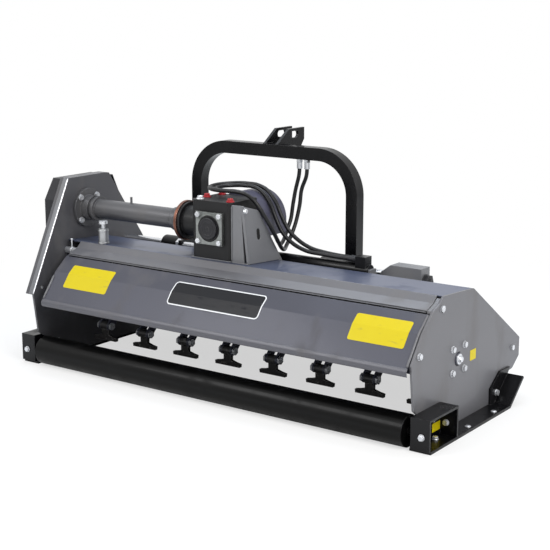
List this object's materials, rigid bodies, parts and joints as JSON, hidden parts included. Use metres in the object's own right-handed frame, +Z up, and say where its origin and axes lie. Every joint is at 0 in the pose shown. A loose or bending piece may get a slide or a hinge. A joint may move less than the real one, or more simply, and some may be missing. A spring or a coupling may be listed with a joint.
{
  "type": "flail mower",
  "caption": "Tractor-mounted flail mower with side-shift headstock, belt-driven hammer rotor, hinged rear hood and full-width rear roller.",
  "frame": {"origin": "middle of the bounding box on the floor under the skids", "axes": "X along the working width, Y towards the tractor, Z up"},
  "size_m": [1.952, 0.9821, 0.947],
  "materials": {
    "grey_paint": "satin anthracite paint",
    "black_paint": "gloss black paint",
    "dark_plastic": "dark grey shaft guard",
    "black_rubber": "black rubber",
    "zinc": "zinc plated",
    "chrome": "hard chrome",
    "cast_black": "black painted casting",
    "machined": "machined steel",
    "red_plastic": "red plug",
    "copper": "copper coloured ring",
    "worn_steel": "dark worn steel"
  },
  "bodies": {
    "deck": {"top_panel": "grey_paint", "front_panel": "grey_paint", "front_beam": "grey_paint", "hinge_rail": "grey_paint", "right_end_plate": "grey_paint", "left_end_plate": "grey_paint", "belt_guard": "black_paint", "skids": "black_paint", "roller_brackets": "black_paint", "front_curtain": "black_rubber", "pivot_rods": "zinc", "gearbox_housing": "cast_black", "gearbox_covers": "machined", "gearbox_plugs": "red_plastic", "gearbox_support": "grey_paint", "drive_tube": "grey_paint", "clamp_ring": "copper", "bearings": "machined", "belts": "black_rubber", "shaft_guard": "dark_plastic", "guide_bars": "chrome", "slide_brackets": "grey_paint", "shift_barrel": "black_paint", "hose_fittings": "chrome", "hose_a": "black_rubber", "hose_b": "black_rubber", "plunger_body": "zinc", "deck_bolts": "zinc"},
    "headstock": {"headstock_frame": "black_paint", "top_link_lugs": "black_paint", "hitch_cheeks": "black_paint", "hitch_pins": "zinc", "guide_sleeves": "black_paint", "shift_rod": "chrome", "hose_couplers": "chrome"},
    "rotor": {"rotor_drum": "worn_steel", "flail_bolts": "worn_steel", "rotor_pulley": "machined"},
    "drive_line": {"drive_shaft": "machined"},
    "input_line": {"input_shaft": "machined"},
    "rear_roller": {"roller": "black_paint"},
    "rear_hood": {"hood": "grey_paint"},
    "plunger": {"plunger_pin": "zinc"},
    "flail_01_body": {"flail_01": "worn_steel"},
    "flail_02_body": {"flail_02": "worn_steel"},
    "flail_03_body": {"flail_03": "worn_steel"},
    "flail_04_body": {"flail_04": "worn_steel"},
    "flail_05_body": {"flail_05": "worn_steel"},
    "flail_06_body": {"flail_06": "worn_steel"},
    "flail_07_body": {"flail_07": "worn_steel"},
    "flail_08_body": {"flail_08": "worn_steel"},
    "flail_09_body": {"flail_09": "worn_steel"},
    "flail_10_body": {"flail_10": "worn_steel"},
    "flail_11_body": {"flail_11": "worn_steel"},
    "flail_12_body": {"flail_12": "worn_steel"},
    "flail_13_body": {"flail_13": "worn_steel"},
    "flail_14_body": {"flail_14": "worn_steel"},
    "flail_15_body": {"flail_15": "worn_steel"},
    "flail_16_body": {"flail_16": "worn_steel"}
  },
  "joints": [
    {"name": "side_shift", "type": "slide", "parent": "deck", "child": "headstock", "axis": [1, 0, 0], "range_m": [-0.2, 0.11], "deforming": ["hose_a", "hose_b"]},
    {"name": "rotor_spin", "type": "hinge", "parent": "deck", "child": "rotor", "pos_m": [0, -0.14509, 0.24204], "axis": [1, 0, 0], "continuous": true},
    {"name": "drive_spin", "type": "hinge", "parent": "deck", "child": "drive_line", "pos_m": [-0.5, -0.15199, 0.608], "axis": [1, 0, 0], "continuous": true},
    {"name": "input_spin", "type": "hinge", "parent": "deck", "child": "input_line", "pos_m": [-0.107, -0.15199, 0.608], "axis": [0, 1, 0], "continuous": true},
    {"name": "roller_spin", "type": "hinge", "parent": "deck", "child": "rear_roller", "pos_m": [0.028, -0.43403, 0.058], "axis": [1, 0, 0], "continuous": true},
    {"name": "hood_open", "type": "hinge", "parent": "deck", "child": "rear_hood", "pos_m": [0, -0.273, 0.44599], "axis": [-1, 0, 0], "range_deg": [0, 80]},
    {"name": "plunger_pull", "type": "slide", "parent": "deck", "child": "plunger", "axis": [0, 0, 1], "range_m": [0, 0.012], "stiffness_N_per_m": 600},
    {"name": "flail_01_swing", "type": "hinge", "parent": "rotor", "child": "flail_01_body", "pos_m": [-0.767, -0.0461, 0.34103], "axis": [1, 0, 0], "range_deg": [-2, 200]},
    {"name": "flail_02_swing", "type": "hinge", "parent": "rotor", "child": "flail_02_body", "pos_m": [-0.661, -0.24409, 0.14304], "axis": [1, 0, 0], "range_deg": [-178, 88]},
    {"name": "flail_03_swing", "type": "hinge", "parent": "rotor", "child": "flail_03_body", "pos_m": [-0.555, -0.0461, 0.34103], "axis": [1, 0, 0], "range_deg": [-2, 200]},
    {"name": "flail_04_swing", "type": "hinge", "parent": "rotor", "child": "flail_04_body", "pos_m": [-0.449, -0.24409, 0.14304], "axis": [1, 0, 0], "range_deg": [-178, 88]},
    {"name": "flail_05_swing", "type": "hinge", "parent": "rotor", "child": "flail_05_body", "pos_m": [-0.343, -0.0461, 0.34103], "axis": [1, 0, 0], "range_deg": [-2, 200]},
    {"name": "flail_06_swing", "type": "hinge", "parent": "rotor", "child": "flail_06_body", "pos_m": [-0.237, -0.24409, 0.14304], "axis": [1, 0, 0], "range_deg": [-178, 88]},
    {"name": "flail_07_swing", "type": "hinge", "parent": "rotor", "child": "flail_07_body", "pos_m": [-0.131, -0.0461, 0.34103], "axis": [1, 0, 0], "range_deg": [-2, 200]},
    {"name": "flail_08_swing", "type": "hinge", "parent": "rotor", "child": "flail_08_body", "pos_m": [-0.025, -0.24409, 0.14304], "axis": [1, 0, 0], "range_deg": [-178, 88]},
    {"name": "flail_09_swing", "type": "hinge", "parent": "rotor", "child": "flail_09_body", "pos_m": [0.081, -0.0461, 0.34103], "axis": [1, 0, 0], "range_deg": [-2, 200]},
    {"name": "flail_10_swing", "type": "hinge", "parent": "rotor", "child": "flail_10_body", "pos_m": [0.187, -0.24409, 0.14304], "axis": [1, 0, 0], "range_deg": [-178, 88]},
    {"name": "flail_11_swing", "type": "hinge", "parent": "rotor", "child": "flail_11_body", "pos_m": [0.293, -0.0461, 0.34103], "axis": [1, 0, 0], "range_deg": [-2, 200]},
    {"name": "flail_12_swing", "type": "hinge", "parent": "rotor", "child": "flail_12_body", "pos_m": [0.399, -0.24409, 0.14304], "axis": [1, 0, 0], "range_deg": [-178, 88]},
    {"name": "flail_13_swing", "type": "hinge", "parent": "rotor", "child": "flail_13_body", "pos_m": [0.505, -0.0461, 0.34103], "axis": [1, 0, 0], "range_deg": [-2, 200]},
    {"name": "flail_14_swing", "type": "hinge", "parent": "rotor", "child": "flail_14_body", "pos_m": [0.611, -0.24409, 0.14304], "axis": [1, 0, 0], "range_deg": [-178, 88]},
    {"name": "flail_15_swing", "type": "hinge", "parent": "rotor", "child": "flail_15_body", "pos_m": [0.717, -0.0461, 0.34103], "axis": [1, 0, 0], "range_deg": [-2, 200]},
    {"name": "flail_16_swing", "type": "hinge", "parent": "rotor", "child": "flail_16_body", "pos_m": [0.823, -0.24409, 0.14304], "axis": [1, 0, 0], "range_deg": [-178, 88]}
  ],
  "couplings": [
    {"joint": "drive_spin", "follows": "rotor_spin", "ratio": 0.7307},
    {"joint": "input_spin", "follows": "rotor_spin", "ratio": -0.2436}
  ]
}
